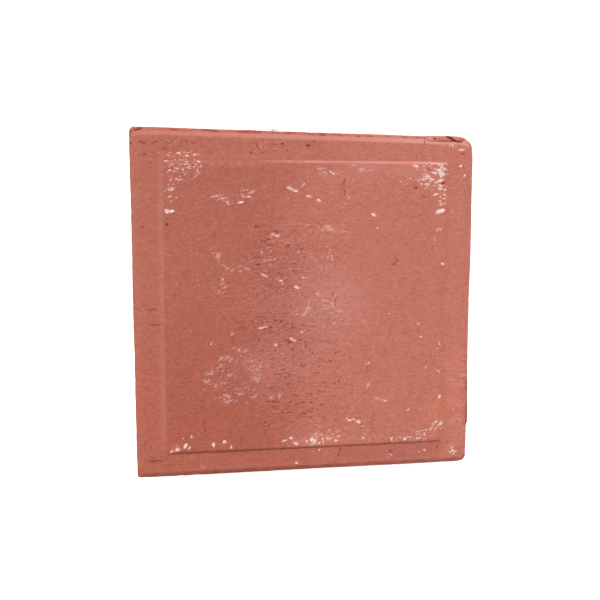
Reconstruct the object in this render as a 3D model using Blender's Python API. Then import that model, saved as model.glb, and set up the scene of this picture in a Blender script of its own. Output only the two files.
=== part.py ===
"""Clay bar for car detailing: a square slab of two pressed clay layers with a raised centre panel.

The bar lies flat, raised panel up (+Z). Its origin is the middle of its underside. Lengths are in
metres; MM turns the millimetres of the driving dimensions into metres.
"""

import math

import bmesh
import bpy
from mathutils import Matrix, Vector

MM = 0.001

# Driving dimensions of the slab.
HALF_SIDE = 50.0 * MM
BACK_THICKNESS = 5.7 * MM
FRONT_THICKNESS = 5.1 * MM
SEAM = 0.3 * MM
CORNER_RADII = [3.0 * MM, 1.6 * MM, 1.0 * MM, 2.2 * MM]  # right top, left top, left bottom, right bottom
CORNER_STEPS = 7
EDGE_SHRINK = 0.25  # how much of an inset a corner radius gives up

# Edge profile of the slab, outside in.
SHOULDER_WIDTH = 1.0 * MM
SHOULDER_DROP = 1.4 * MM
BEVEL_WIDTH = 1.8 * MM
BEVEL_DROP = 0.7 * MM
WALL_DRAFT = 0.15 * MM
BACK_EDGE = 0.9 * MM  # rounding of the underside's edge, drawn as two facets
BACK_EDGE_KNEE = 0.3 * BACK_EDGE

# Raised panel and the shallow pocket that it is pressed into.
PANEL_HALF = (41.4 * MM, 41.9 * MM)
PANEL_CENTRE = (0.45 * MM, -0.7 * MM)
PANEL_RISE = 0.7 * MM  # the upper edge ends this much low on the left and high on the right
PANEL_LEAN = 0.3 * MM  # the left edge ends this much right at the top and left at the bottom
PANEL_THICKNESS = 1.4 * MM
PANEL_STEP = 0.9 * MM  # how far the panel stands above the border
PANEL_CHAMFER = PANEL_STEP
PANEL_RADIUS = 0.8 * MM

# Heights that follow from the dimensions above.
FRONT_BASE = BACK_THICKNESS + SEAM
BORDER_TOP = FRONT_BASE + FRONT_THICKNESS
PANEL_TOP = BORDER_TOP + PANEL_STEP
PANEL_BASE = PANEL_TOP - PANEL_THICKNESS
POCKET_FLOOR = PANEL_BASE - SEAM
WIDEST = BORDER_TOP - BEVEL_DROP - SHOULDER_DROP

# Fragment broken off the upper edge near the right corner.
FRAGMENT_X = (35.3 * MM, 46.6 * MM)
FRAGMENT_INNER_Y = 47.9 * MM
FRAGMENT_BASE = 8.2 * MM
FRAGMENT_SUNK = 0.35 * MM

# Each chip has a name, a centre x and y, a length and a width, a turn about its own normal in
# degrees, and a phase that sets which way its outline bulges.
PANEL_CHIPS = [
    ("residue_chip_upper_right", 39.2 * MM, 27.4 * MM, 2.2 * MM, 1.2 * MM, 22.0, 0.4),
    ("residue_chip_upper_left", -38.4 * MM, 26.4 * MM, 1.6 * MM, 1.1 * MM, 10.0, 1.9),
    ("residue_chip_lower_left", -35.8 * MM, -40.0 * MM, 1.6 * MM, 0.9 * MM, 60.0, 3.1),
    ("residue_chip_lower_middle", 0.9 * MM, -40.0 * MM, 1.5 * MM, 1.1 * MM, -15.0, 4.4),
]
CHIP_HEIGHT = 0.45 * MM
CHIP_PROUD = 0.15 * MM
CHIP_EDGE = 0.1 * MM
CHIP_MARGIN = 0.35 * MM  # clear width of the pit on every side of a chip
CHIP_SIDES = 7
CHIP_WOBBLE = 0.12
PIT_REACH = 4 * CHIP_HEIGHT  # how far a pit's cutter stands out of the clay

FLAKE = ("lifted_flake", -4.8 * MM, -10.0 * MM, 2.0 * MM, 1.1 * MM, -40.0, 5.2)
FLAKE_TILT = 24.0
CRUMB = ("edge_crumb", -9.7 * MM, 49.5 * MM, 2.2 * MM, 0.9 * MM, 0.0, 2.3)


def clear_scene():
    for old in list(bpy.data.objects):
        bpy.data.objects.remove(old)


def clay_material(name, colour, roughness):
    """A matte Principled material with no metallic part."""
    made = bpy.data.materials.new(name)
    made.use_nodes = True
    shader = made.node_tree.nodes["Principled BSDF"]
    shader.inputs["Base Color"].default_value = (*colour, 1.0)
    shader.inputs["Roughness"].default_value = roughness
    shader.inputs["Metallic"].default_value = 0.0
    return made


def rounded_outline(half_x, half_y, radii):
    """Corner arcs of a rectangle about 0, counter-clockwise from the right of the upper right corner."""
    points = []
    corners = [(1, 1, 0), (-1, 1, 90), (-1, -1, 180), (1, -1, 270)]
    for (side_x, side_y, start), radius in zip(corners, radii):
        arc_x = side_x * (half_x - radius)
        arc_y = side_y * (half_y - radius)
        for step in range(CORNER_STEPS):
            angle = math.radians(start + 90 * step / (CORNER_STEPS - 1))
            points.append((arc_x + radius * math.cos(angle), arc_y + radius * math.sin(angle)))
    return points


def slab_ring(inset, z):
    """The slab's outline, drawn in by inset, at height z."""
    radii = [radius - EDGE_SHRINK * min(inset, radius) for radius in CORNER_RADII]
    outline = rounded_outline(HALF_SIDE - inset, HALF_SIDE - inset, radii)
    return [Vector((x, y, z)) for x, y in outline]


def panel_ring(outset, z):
    """The panel's outline, grown by outset and drawn a little out of square, at height z."""
    half_x, half_y = (half + outset for half in PANEL_HALF)
    ring = []
    for x, y in rounded_outline(half_x, half_y, [PANEL_RADIUS] * 4):
        across, up = x / PANEL_HALF[0], y / PANEL_HALF[1]
        lean = PANEL_LEAN * up * (1 - across) / 2
        rise = PANEL_RISE * across * (1 + up) / 2
        ring.append(Vector((PANEL_CENTRE[0] + x + lean, PANEL_CENTRE[1] + y + rise, z)))
    return ring


def loft(name, rings, material=None):
    """A closed body skinned over rings of equal length and capped at both ends."""
    mesh = bmesh.new()
    loops = [[mesh.verts.new(point) for point in ring] for ring in rings]
    for lower, upper in zip(loops, loops[1:]):
        for i in range(len(lower)):
            j = (i + 1) % len(lower)
            mesh.faces.new((lower[i], lower[j], upper[j], upper[i]))
    mesh.faces.new(loops[0])
    mesh.faces.new(loops[-1])
    bmesh.ops.recalc_face_normals(mesh, faces=mesh.faces)
    data = bpy.data.meshes.new(name)
    mesh.to_mesh(data)
    mesh.free()
    made = bpy.data.objects.new(name, data)
    bpy.context.scene.collection.objects.link(made)
    if material:
        data.materials.append(material)
    return made


def shade(piece):
    piece.data.shade_smooth()
    piece.data.set_sharp_from_angle(angle=math.radians(20))


def cut(piece, cutter):
    """Takes cutter out of piece, and keeps cutter as a wire guide."""
    cutter.hide_render = True
    cutter.display_type = "WIRE"
    boolean = piece.modifiers.new("cut_" + cutter.name, "BOOLEAN")
    boolean.operation = "DIFFERENCE"
    boolean.object = cutter


def chip_rings(length, width, phase, heights, shrinks):
    """An irregular oval at each height, in the chip's own frame."""
    rings = []
    for height, shrink in zip(heights, shrinks):
        ring = []
        for i in range(CHIP_SIDES):
            angle = 2 * math.pi * i / CHIP_SIDES
            reach = 1 + CHIP_WOBBLE * math.sin(3 * angle + phase)
            across = (length / 2 - shrink) * reach * math.cos(angle)
            along = (width / 2 - shrink) * reach * math.sin(angle)
            ring.append(Vector((across, along, height)))
        rings.append(ring)
    return rings


def chip_and_pit(spec, seat, host, material, tilt=0.0):
    """A small chip whose middle is at seat, and the pit that it sits in, cut from host."""
    name, _, _, length, width, turn, phase = spec
    place = (
        Matrix.Translation(seat)
        @ Matrix.Rotation(math.radians(tilt), 4, "X")
        @ Matrix.Rotation(math.radians(turn), 4, "Z")
    )
    half = CHIP_HEIGHT / 2
    heights = (-half, half - CHIP_EDGE, half)
    chip = loft(name, chip_rings(length, width, phase, heights, (CHIP_EDGE, 0, CHIP_EDGE)), material)
    chip.matrix_world = place
    grown = (length + 2 * CHIP_MARGIN, width + 2 * CHIP_MARGIN)
    pit = loft("pit_" + name, chip_rings(*grown, phase, (-half - SEAM, PIT_REACH), (0, 0)))
    pit.matrix_world = place
    cut(host, pit)
    return chip


def make_back_layer(material):
    rings = [
        slab_ring(BACK_EDGE + WALL_DRAFT, 0),
        slab_ring(BACK_EDGE_KNEE + WALL_DRAFT, BACK_EDGE_KNEE),
        slab_ring(WALL_DRAFT, BACK_EDGE),
        slab_ring(0, BACK_THICKNESS),
    ]
    back = loft("back_layer", rings, material)
    shade(back)
    return back


def make_front_layer(material):
    rings = [
        slab_ring(0, FRONT_BASE),
        slab_ring(0, WIDEST),
        slab_ring(SHOULDER_WIDTH, WIDEST + SHOULDER_DROP),
        slab_ring(SHOULDER_WIDTH + BEVEL_WIDTH, BORDER_TOP),
        panel_ring(SEAM, BORDER_TOP),
        panel_ring(SEAM, POCKET_FLOOR),
    ]
    front = loft("front_layer", rings, material)
    shade(front)
    return front


def make_raised_panel(material):
    rings = [
        panel_ring(0, PANEL_BASE),
        panel_ring(0, PANEL_TOP - PANEL_CHAMFER),
        panel_ring(-PANEL_CHAMFER, PANEL_TOP),
    ]
    panel = loft("raised_panel", rings, material)
    shade(panel)
    return panel


def edge_section(x, inner_y, sink, base):
    """Cross-section of the slab's upper edge at x, sunk below the slab's own profile."""
    corners = [
        (inner_y, base),
        (HALF_SIDE, base),
        (HALF_SIDE, WIDEST - sink),
        (HALF_SIDE - SHOULDER_WIDTH, WIDEST + SHOULDER_DROP - sink),
        (inner_y, WIDEST + SHOULDER_DROP + BEVEL_DROP / 2 - sink),
    ]
    return [Vector((x, y, z)) for y, z in corners]


def make_corner_fragment(front, material):
    """The fragment along the upper edge, and the notch in the front layer that it came from."""
    start, end = FRAGMENT_X
    fragment = loft(
        "corner_fragment",
        [edge_section(x, FRAGMENT_INNER_Y, FRAGMENT_SUNK, FRAGMENT_BASE) for x in (start, end)],
        material,
    )
    notch_corners = [
        (FRAGMENT_INNER_Y - SEAM, FRAGMENT_BASE - SEAM),
        (HALF_SIDE + MM, FRAGMENT_BASE - SEAM),
        (HALF_SIDE + MM, PANEL_TOP),
        (FRAGMENT_INNER_Y - SEAM, PANEL_TOP),
    ]
    notch = loft(
        "notch_corner_fragment",
        [[Vector((x, y, z)) for y, z in notch_corners] for x in (start - SEAM, end + SEAM)],
    )
    cut(front, notch)
    return fragment


def main():
    clear_scene()
    border_clay = clay_material("border_clay", (0.47, 0.135, 0.092), 0.8)
    panel_clay = clay_material("panel_clay", (0.52, 0.155, 0.112), 0.78)
    back_clay = clay_material("back_clay", (0.45, 0.125, 0.085), 0.85)
    residue = clay_material("residue", (0.80, 0.68, 0.62), 0.9)

    make_back_layer(back_clay)
    front = make_front_layer(border_clay)
    panel = make_raised_panel(panel_clay)
    make_corner_fragment(front, border_clay)

    chip_seat = PANEL_TOP + CHIP_PROUD - CHIP_HEIGHT / 2
    for spec in PANEL_CHIPS:
        chip_and_pit(spec, Vector((spec[1], spec[2], chip_seat)), panel, residue)
    chip_and_pit(FLAKE, Vector((FLAKE[1], FLAKE[2], chip_seat)), panel, panel_clay, tilt=FLAKE_TILT)

    lean = math.degrees(math.atan2(SHOULDER_DROP, SHOULDER_WIDTH))
    crumb_seat = Vector((CRUMB[1], CRUMB[2], WIDEST + SHOULDER_DROP / 2))
    chip_and_pit(CRUMB, crumb_seat, front, residue, tilt=-lean)


main()
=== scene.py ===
"""Looks of the clay bar: pressed red clay with cracks, pits, a plucked middle and pale dried residue.

Shapes are worked out in millimetres in the bar's own frame (x to the right, y up the panel, z up from the
underside) and handed to Blender in metres. Every visible piece is a dense closed mesh whose relief is real
geometry. The clay's vertices also carry wear values and painted light and shade that its materials read.
"""

import math

import bmesh
import bpy
import numpy as np
from mathutils import Euler, Matrix, Vector


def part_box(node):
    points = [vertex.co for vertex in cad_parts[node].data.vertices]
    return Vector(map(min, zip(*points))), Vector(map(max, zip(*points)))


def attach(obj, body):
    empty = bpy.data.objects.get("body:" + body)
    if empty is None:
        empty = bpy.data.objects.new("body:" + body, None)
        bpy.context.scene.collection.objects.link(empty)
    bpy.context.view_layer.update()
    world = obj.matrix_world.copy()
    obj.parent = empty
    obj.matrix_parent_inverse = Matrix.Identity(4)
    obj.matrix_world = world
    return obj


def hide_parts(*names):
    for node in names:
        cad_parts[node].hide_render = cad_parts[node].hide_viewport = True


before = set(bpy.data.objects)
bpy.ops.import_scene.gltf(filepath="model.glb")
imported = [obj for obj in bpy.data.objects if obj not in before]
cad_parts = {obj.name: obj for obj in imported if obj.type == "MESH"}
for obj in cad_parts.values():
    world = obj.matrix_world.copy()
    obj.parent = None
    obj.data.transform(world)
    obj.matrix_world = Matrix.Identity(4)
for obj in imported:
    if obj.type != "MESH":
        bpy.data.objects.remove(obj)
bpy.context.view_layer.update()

MM = 0.001
CELL = 0.26  # size of a mesh cell on the front surfaces
PANEL_CELLS = 290  # to a side of the panel
COARSE_CELL = 0.45
SMOOTHED = math.radians(75)  # edges between faces at less than this are shaded smooth
WEAR_AND_LIGHT = ("pale", "scuff_and_highlight", "shade_and_darkening", "rub_and_highlight", "warm", "crumb")

# ---------------------------------------------------------------- sizes read from the frame


def box_mm(node):
    low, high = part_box(node)
    return np.array(low) / MM, np.array(high) / MM


_, BACK_HIGH = box_mm("back_layer")
FRONT_LOW, FRONT_HIGH = box_mm("front_layer")
PANEL_LOW, PANEL_HIGH = box_mm("raised_panel")
FRAGMENT_LOW, FRAGMENT_HIGH = box_mm("corner_fragment")
SIDE = FRONT_HIGH[0] - FRONT_LOW[0]
HALF = SIDE / 2
BORDER_Z = FRONT_HIGH[2]
PANEL_Z = PANEL_HIGH[2]
STEP = PANEL_Z - BORDER_Z
SHOULDER_WIDTH, SHOULDER_DROP = 1.0, 1.4
BEVEL_WIDTH, BEVEL_DROP = 1.8, 0.7
WIDEST_Z = BORDER_Z - BEVEL_DROP - SHOULDER_DROP
CORNER_RADII = (3.6, 1.6, 1.0, 2.2)  # right top, left top, left bottom, right bottom
PANEL_RADII = (0.8,) * 4
CORNER_SIGNS = ((1, 1), (-1, 1), (-1, -1), (1, -1))

# The panel's outline is a rectangle drawn out of square: its upper edge rises and its left edge leans.
PANEL_RISE, PANEL_LEAN = 0.6, 0.3
PANEL_LEFT, PANEL_BOTTOM = PANEL_LOW[0] + PANEL_LEAN, PANEL_LOW[1]
PANEL_RIGHT, PANEL_TOP = PANEL_HIGH[0], PANEL_HIGH[1] - 0.75 * PANEL_RISE
PANEL_HALF = np.array([PANEL_RIGHT - PANEL_LEFT, PANEL_TOP - PANEL_BOTTOM]) / 2
PANEL_MIDDLE = np.array([PANEL_RIGHT + PANEL_LEFT, PANEL_TOP + PANEL_BOTTOM]) / 2
NOTCH_SLOPE = 1.3  # fall of the notch's walls, which the fragment's underside follows
MELTED_Z = BORDER_Z + 0.25  # height at which the panel's softest edges meet the border
LIP_TOP, LIP_BOTTOM, LIP_END = -17, -37.4, -37.8  # y along the dark lip of the right edge
EVERYWHERE = slice(None)


# ---------------------------------------------------------------- noise


def lattice(points, seed):
    """Smooth random field over 3-D points, -1 to 1, with one random value at each whole-number corner."""
    base = np.floor(points).astype(np.int64)
    part = points - base
    part = part * part * (3 - 2 * part)
    total = np.zeros(len(points))
    for corner in range(8):
        step = np.array([corner & 1, corner >> 1 & 1, corner >> 2 & 1])
        cell = base + step
        mixed = cell[:, 0] * 374761393 + cell[:, 1] * 668265263 + cell[:, 2] * 1442695041 + seed * 97531
        mixed = (mixed ^ (mixed >> 13)) & 0xFFFFFFFF
        mixed = (mixed * 1274126177) & 0xFFFFFFFF
        mixed = (mixed ^ (mixed >> 16)) & 0xFFFFFFFF
        weight = np.prod(np.where(step == 1, part, 1 - part), axis=1)
        total += weight * (mixed / 0x7FFFFFFF - 1)
    return total


def fractal(points, size, octaves, seed):
    """Octaves of lattice noise. size is the length in mm of the largest lumps, or one per axis."""
    total, gain = np.zeros(len(points)), 1.0
    scaled = points / np.asarray(size, float)
    for octave in range(octaves):
        total += gain * lattice(scaled + 17.3 * octave, seed + octave)
        scaled, gain = scaled * 2.03, gain * 0.5
    return total


def smoothstep(low, high, value):
    t = np.clip((value - low) / (high - low), 0, 1)
    return t * t * (3 - 2 * t)


def oval(along, across, length, width):
    """Square of the distance from an oval's middle: 0 there, 1 on the oval."""
    return (2 * along / length) ** 2 + (2 * across / width) ** 2


# ---------------------------------------------------------------- the panel's outline


def out_of_square(points):
    """Draws the panel's outline out of square, and leaves the outer edge of the bar as it is."""
    across, up = ((points[:, :2] - PANEL_MIDDLE) / PANEL_HALF).T
    fade = smoothstep(HALF - 3, HALF - 7, np.abs(points[:, :2]).max(axis=1))
    moved = points.copy()
    moved[:, 0] += fade * PANEL_LEAN * up * (1 - across) / 2
    moved[:, 1] += fade * PANEL_RISE * across * (1 + up) / 2
    return moved


def inside_panel(points):
    """How far each point lies inside the panel's left, right, upper and lower edges."""
    across, up = ((points[:, :2] - PANEL_MIDDLE) / PANEL_HALF).T
    left = points[:, 0] - PANEL_LEFT - PANEL_LEAN * up
    upper = PANEL_TOP + PANEL_RISE * across - points[:, 1]
    return left, PANEL_RIGHT - points[:, 0], upper, points[:, 1] - PANEL_BOTTOM


def melt(points, reach):
    """1 at the panel's edge where it sinks softly into the border, 0 at reach from it or at crisp steps."""
    left, right, upper, lower = inside_panel(points)
    x, y = points[:, 0], points[:, 1]
    beside = smoothstep(-reach, 0, np.minimum(upper, lower))
    left_part = smoothstep(reach, 0, np.abs(left)) * beside
    right_part = smoothstep(reach, 0, np.abs(right)) * beside * (0.8 + 0.2 * smoothstep(24, 2, y))
    upper_part = smoothstep(reach, 0, np.abs(upper)) * smoothstep(-8, -20, x) * smoothstep(-reach, 0, left)
    return np.maximum(np.maximum(left_part, right_part), upper_part)


# ---------------------------------------------------------------- closed meshes from stations


def station(half_x, half_y, centre_x, centre_y, z, radii):
    """One level of a body: a rounded rectangle at height z."""
    return np.array([half_x, half_y, centre_x, centre_y, z, *radii], float)


def slab_station(inset, z):
    radii = [max(radius - 0.25 * inset, 0.3) for radius in CORNER_RADII]
    return station(HALF - inset, HALF - inset, 0, 0, z, radii)


def panel_station(outset, z):
    half = PANEL_HALF + outset
    return station(half[0], half[1], PANEL_MIDDLE[0], PANEL_MIDDLE[1], z, PANEL_RADII)


def rounded(square, level):
    """Places points of the square -1..1 on a station, bending its corner squares into quarter discs."""
    half_x, half_y, centre_x, centre_y, z = level[:5]
    flat = square * (half_x, half_y)
    placed = flat.copy()
    for (sign_x, sign_y), radius in zip(CORNER_SIGNS, level[5:]):
        u = (sign_x * flat[:, 0] - half_x + radius) / radius
        v = (sign_y * flat[:, 1] - half_y + radius) / radius
        at = (u > 0) & (v > 0)
        placed[at, 0] = sign_x * (half_x - radius + radius * u[at] * np.sqrt(1 - v[at] ** 2 / 2))
        placed[at, 1] = sign_y * (half_y - radius + radius * v[at] * np.sqrt(1 - u[at] ** 2 / 2))
    placed += (centre_x, centre_y)
    return np.column_stack([placed, np.full(len(placed), z)])


def square_loop(count):
    """Edge of the square -1..1, counter-clockwise from its lower left corner, count points to a side."""
    t = np.linspace(-1, 1, count + 1)[:-1]
    one = np.ones(count)
    sides = ((t, -one), (one, t), (-t, one), (-one, -t))
    return np.concatenate([np.column_stack(side) for side in sides])


def levels_through(stations, cell):
    """The stations with enough levels put between them to keep cells about one cell long."""
    levels = [stations[0]]
    for start, end in zip(stations, stations[1:]):
        span = math.hypot(np.abs(end[:2] - start[:2]).max(), end[4] - start[4])
        steps = max(1, math.ceil(span / cell))
        levels += [start + (end - start) * step / steps for step in range(1, steps + 1)]
    return levels


def band_faces(first, second, size):
    """Quads between two loops of size points that start at indices first and second."""
    here = np.arange(size)
    ahead = (here + 1) % size
    return np.column_stack([first + here, first + ahead, second + ahead, second + here])


def ring_body(stations, count, cell):
    """A closed body skinned over its stations. Both ends are one flat face, so both must be hidden."""
    loop = square_loop(count)
    levels = levels_through(stations, cell)
    points = np.concatenate([rounded(loop, level) for level in levels])
    size = len(loop)
    quads = [band_faces(i * size, (i + 1) * size, size) for i in range(len(levels) - 1)]
    last = (len(levels) - 1) * size
    caps = [list(range(size))[::-1], list(range(last, last + size))]
    return points, np.concatenate(quads).tolist() + caps


def faced_body(stations, count, cell):
    """A closed body whose first station is a fine grid of cells, and whose last end is one hidden face."""
    t = np.linspace(-1, 1, count + 1)
    grid = np.column_stack([axis.ravel() for axis in np.meshgrid(t, t)])
    face = rounded(grid, stations[0])
    index = np.arange((count + 1) ** 2).reshape(count + 1, count + 1)
    corners = (index[:-1, :-1], index[1:, :-1], index[1:, 1:], index[:-1, 1:])
    cells = np.column_stack([corner.ravel() for corner in corners])
    edge = np.concatenate([index[0, :-1], index[:-1, -1], index[-1, :0:-1], index[:0:-1, 0]])
    loop = square_loop(count)
    levels = levels_through(stations, cell)[1:]
    points = np.concatenate([face] + [rounded(loop, level) for level in levels])
    size, first = len(loop), len(face)
    bands = [band_faces(first + i * size, first + (i + 1) * size, size) for i in range(len(levels) - 1)]
    here = first + np.arange(size)
    seam = np.column_stack([edge, np.roll(edge, -1), np.roll(here, -1), here])
    last = first + (len(levels) - 1) * size
    faces = np.concatenate([cells, seam] + bands).tolist()
    return points, faces + [list(range(last, last + size))]


def add_object(name, data):
    """A new object in the scene."""
    made = bpy.data.objects.new(name, data)
    bpy.context.scene.collection.objects.link(made)
    return made


def new_mesh(name, points, faces):
    """A mesh object from points in mm, with its faces turned to point out."""
    mesh = bpy.data.meshes.new(name)
    mesh.from_pydata((points * MM).tolist(), [], faces)
    corners = points[[face[:3] for face in faces[:-2]]]
    outward = np.einsum("ij,ij->", corners[:, 0], np.cross(corners[:, 1], corners[:, 2]))
    if outward < 0:
        mesh.flip_normals()
    return add_object(name, mesh)


# ---------------------------------------------------------------- relief, wear and painted light


def store_wear_and_light(piece, name, values):
    layer = piece.data.attributes.new(name, "FLOAT", "POINT")
    layer.data.foreach_set("value", np.clip(values, 0, 1))


class Skin:
    """Relief, wear and painted light and shade of one piece, gathered feature by feature over its vertices.
    """

    def __init__(self, piece, seed):
        self.piece = piece
        count = len(piece.data.vertices)
        points = np.empty(count * 3)
        piece.data.vertices.foreach_get("co", points)
        self.points = points.reshape(-1, 3) / MM
        normals = np.empty(count * 3, np.float32)
        piece.data.vertex_normals.foreach_get("vector", normals)
        self.normals = normals.reshape(-1, 3).astype(float)
        self.top = smoothstep(0.1, 0.5, self.normals[:, 2])
        self.height = np.zeros(count)
        self.lift = np.zeros(count)
        self.wear_and_light = {name: np.zeros(count) for name in WEAR_AND_LIGHT}
        self.ragged = fractal(self.points, 0.9, 3, seed)
        self.random = np.random.default_rng(seed)
        self.seed = seed

    def mark(self, name, near, strength):
        self.wear_and_light[name][near] = np.maximum(self.wear_and_light[name][near], strength)

    def around(self, x, y, reach, turn, z=None):
        """Vertices within reach of a place, and how far they lie along and across the direction turn."""
        near = (np.abs(self.points[:, 0] - x) < reach) & (np.abs(self.points[:, 1] - y) < reach)
        if z is not None:
            near &= np.abs(self.points[:, 2] - z) < reach
        near = np.flatnonzero(near)
        angle = math.radians(turn)
        right, up = self.points[near, 0] - x, self.points[near, 1] - y
        along = right * math.cos(angle) + up * math.sin(angle)
        across = up * math.cos(angle) - right * math.sin(angle)
        return near, along, across

    def spot(self, x, y, length, width, turn, z=None):
        """Vertices near a spot, and how far out each lies: 0 at its middle, about 1 at its ragged edge."""
        near, along, across = self.around(x, y, 0.75 * max(length, width) + 0.3, turn, z)
        squared = oval(along, across, length, width)
        if z is not None:
            squared += (2 * (self.points[near, 2] - z) / width) ** 2
        return near, np.sqrt(squared) + 0.35 * self.ragged[near]

    def fleck(self, x, y, length, width, turn, strength=1.0, kind="pale"):
        """A chip of residue that stands a little proud."""
        near, out = self.spot(x, y, length, width, turn)
        shape = smoothstep(1.25, 0.7, out) * self.top[near]
        self.mark(kind, near, strength * shape)
        self.height[near] += 0.06 * strength * shape * (0.6 + 0.4 * self.ragged[near])

    def dust(self, x, y, length, width, turn, share, size, strength, kind="pale", soft=0.16):
        """A patch of specks of about size mm that cover share of its middle and thin out to its edge."""
        near, along, across = self.around(x, y, 0.6 * max(length, width) + 0.5, turn)
        out = np.sqrt(oval(along, across, length, width)) + 0.2 * self.ragged[near]
        scaled = np.column_stack([along / size[0] + x, across / size[1] + y, np.full(len(near), 7.7)])
        field = fractal(scaled, 1.0, 2, self.seed + 300)
        level = np.quantile(field, 1 - share)
        shape = smoothstep(0, soft, field - level - 0.5 * smoothstep(0.35, 1.05, out)) * self.top[near]
        shape *= smoothstep(1.35, 1.1, out)
        self.mark(kind, near, strength * shape)
        if kind == "pale":
            self.height[near] += 0.04 * strength * shape

    def glow(self, name, x, y, length, width, turn, strength):
        """Tints a soft oval patch."""
        near, along, across = self.around(x, y, 0.6 * max(length, width), turn)
        out = np.sqrt(oval(along, across, length, width)) + 0.15 * self.ragged[near]
        self.mark(name, near, strength * smoothstep(1, 0.2, out))

    def pit(self, x, y, length, width, turn, depth, z=None):
        """A pit with soft walls and painted shade in its bottom."""
        near, out = self.spot(x, y, length, width, turn, z)
        shape = smoothstep(1.15, 0.3, out)
        if z is None:
            shape = shape * self.top[near]
        self.height[near] -= depth * shape
        self.mark("shade_and_darkening", near, min(depth / 0.3, 1) * shape)

    def crack(self, x, y, length, turn, width=0.1, depth=0.3, bend=0.1, lip=0.04):
        """A short open crack, almost straight, a little broken, with its upper lip raised and painted shade
        in its gap.
        """
        near, along, across = self.around(x, y, 0.6 * length + 0.6, turn)
        wander = bend * np.sin(along * 2.3 + x) + bend * lattice(self.points[near] * 1.3, self.seed + 41)
        off = across - wander - 0.08 * self.ragged[near]
        taper = smoothstep(length / 2, length / 3, np.abs(along)) * self.top[near]
        taper *= smoothstep(-0.9, -0.3, lattice(self.points[near] * 1.9, self.seed + 43))
        gap = smoothstep(width + 0.12, 0.3 * width, np.abs(off)) * taper
        raised = smoothstep(0.8, 0.1, np.abs(off - 0.45)) * taper
        self.height[near] += lip * raised - depth * gap
        self.mark("shade_and_darkening", near, min(depth / 0.22, 1) * gap)

    def cracks(self, low, high, count, length, turn, jitter, depth, width=0.08):
        """Fine cracks scattered over a rectangle, nearly parallel."""
        for _ in range(count):
            x, y = self.random.uniform(low, high)
            reach = length * self.random.uniform(0.4, 1.6)
            lean = turn + self.random.normal(0, jitter)
            self.crack(x, y, reach, lean, width, depth * self.random.uniform(0.4, 1.3), 0.06, 0.02)

    def ledge(self, x, y, length, turn, drop, reach=1.8):
        """An edge where a thin skin of clay ends: the ground right of direction turn lies lower by drop."""
        near, along, across = self.around(x, y, 0.6 * length + reach, turn)
        wander = 0.45 * lattice(self.points[near] * 0.55, self.seed + 47) + 0.3 * self.ragged[near]
        off = across - wander
        taper = smoothstep(length / 2, length / 4, np.abs(along)) * self.top[near]
        sunk = smoothstep(-reach, 0, off) * smoothstep(0.12, -0.12, off)
        raised = smoothstep(reach, 0, off) * smoothstep(-0.12, 0.12, off)
        self.height[near] += drop * taper * (0.45 * raised - 0.55 * sunk)
        # Painted shade lies along the foot where it faces down the panel, a painted highlight where it
        # faces up, and a painted highlight on the raised edge.
        foot = smoothstep(0.3, 0.0, np.abs(off + 0.12)) * taper
        edge = smoothstep(0.45, 0.1, np.abs(off - 0.2)) * taper
        lit = max(0.0, -math.cos(math.radians(turn)))
        self.mark("shade_and_darkening", near, 0.5 * (1 - lit) * foot * smoothstep(-0.5, 0.2, self.ragged[near]))
        self.mark("scuff_and_highlight", near, 0.5 * lit * foot)
        self.mark("rub_and_highlight", near, 0.8 * edge)

    def scar(self, x, y, length, width, turn, depth):
        """A patch where a thin skin of clay was plucked off: a shallow floor with a crisp ragged rim."""
        near, out = self.spot(x, y, length, width, turn)
        floor = smoothstep(1.1, 0.9, out) * self.top[near]
        self.height[near] -= depth * floor * (0.8 + 0.3 * self.ragged[near])
        rim = smoothstep(0.2, 0.02, np.abs(out - 1)) * self.top[near]
        # The upper part of the rim gets painted shade and the lower part a painted highlight.
        _, _, across = self.around(x, y, 0.75 * max(length, width) + 0.3, 0)
        self.mark("shade_and_darkening", near, 0.4 * rim * smoothstep(-0.2, 0.3, across))
        self.mark("scuff_and_highlight", near, 0.5 * rim * smoothstep(0.2, -0.3, across))
        self.mark("crumb", near, 0.8 * floor)

    def pores(self, count, size, depth, where=None):
        """Random pits anywhere on the piece, or at the vertices that where picks."""
        choices = np.flatnonzero(where) if where is not None else np.arange(len(self.points))
        for index in self.random.choice(choices, count):
            x, y, z = self.points[index]
            scale = self.random.uniform(0.5, 1.5)
            stretch = self.random.uniform(1.0, 2.2)
            turn = self.random.uniform(0, 180)
            self.pit(x, y, size * scale * stretch, size * scale, turn, depth * scale, z)

    def grain(self, swell, lumps, fine, seed):
        """The clay's own relief: a broad swell, small lumps and fine grain."""
        self.height += swell * (0.3 + 0.7 * self.top) * fractal(self.points, 22, 2, seed)
        self.height += lumps * fractal(self.points, 2.4, 3, seed + 5)
        fine_grain = fractal(self.points, 0.8, 2, seed + 9)
        self.height += fine * fine_grain
        # Painted shade darkens the low points of the fine grain.
        self.mark("shade_and_darkening", EVERYWHERE, 0.16 * smoothstep(0.6, 1.3, -fine_grain))

    def crumble(self, x, y, half_x, half_y, depth, crumb, seed, stretch=(1.9, 1.1, 1.1)):
        """A zone whose skin is broken into flat crumbs with sunk, darker joints between them."""
        near, along, across = self.around(x, y, 1.2 * max(half_x, half_y), 0)
        out = np.sqrt((along / half_x) ** 2 + (across / half_y) ** 2) + 0.25 * self.ragged[near]
        weight = smoothstep(1, 0, out) * self.top[near]
        lumps = fractal(self.points[near], stretch, 3, seed)
        joints = smoothstep(0.22, 0.0, np.abs(lumps)) * weight
        self.height[near] += weight * depth * 0.6 * np.clip(lumps, -1, 1) - depth * joints
        self.mark("shade_and_darkening", near, 0.25 * joints)
        # The highest crumbs carry a painted highlight.
        self.mark("rub_and_highlight", near, 0.4 * smoothstep(0.3, 0.9, lumps) * weight)
        self.mark("crumb", near, crumb * weight)

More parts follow.
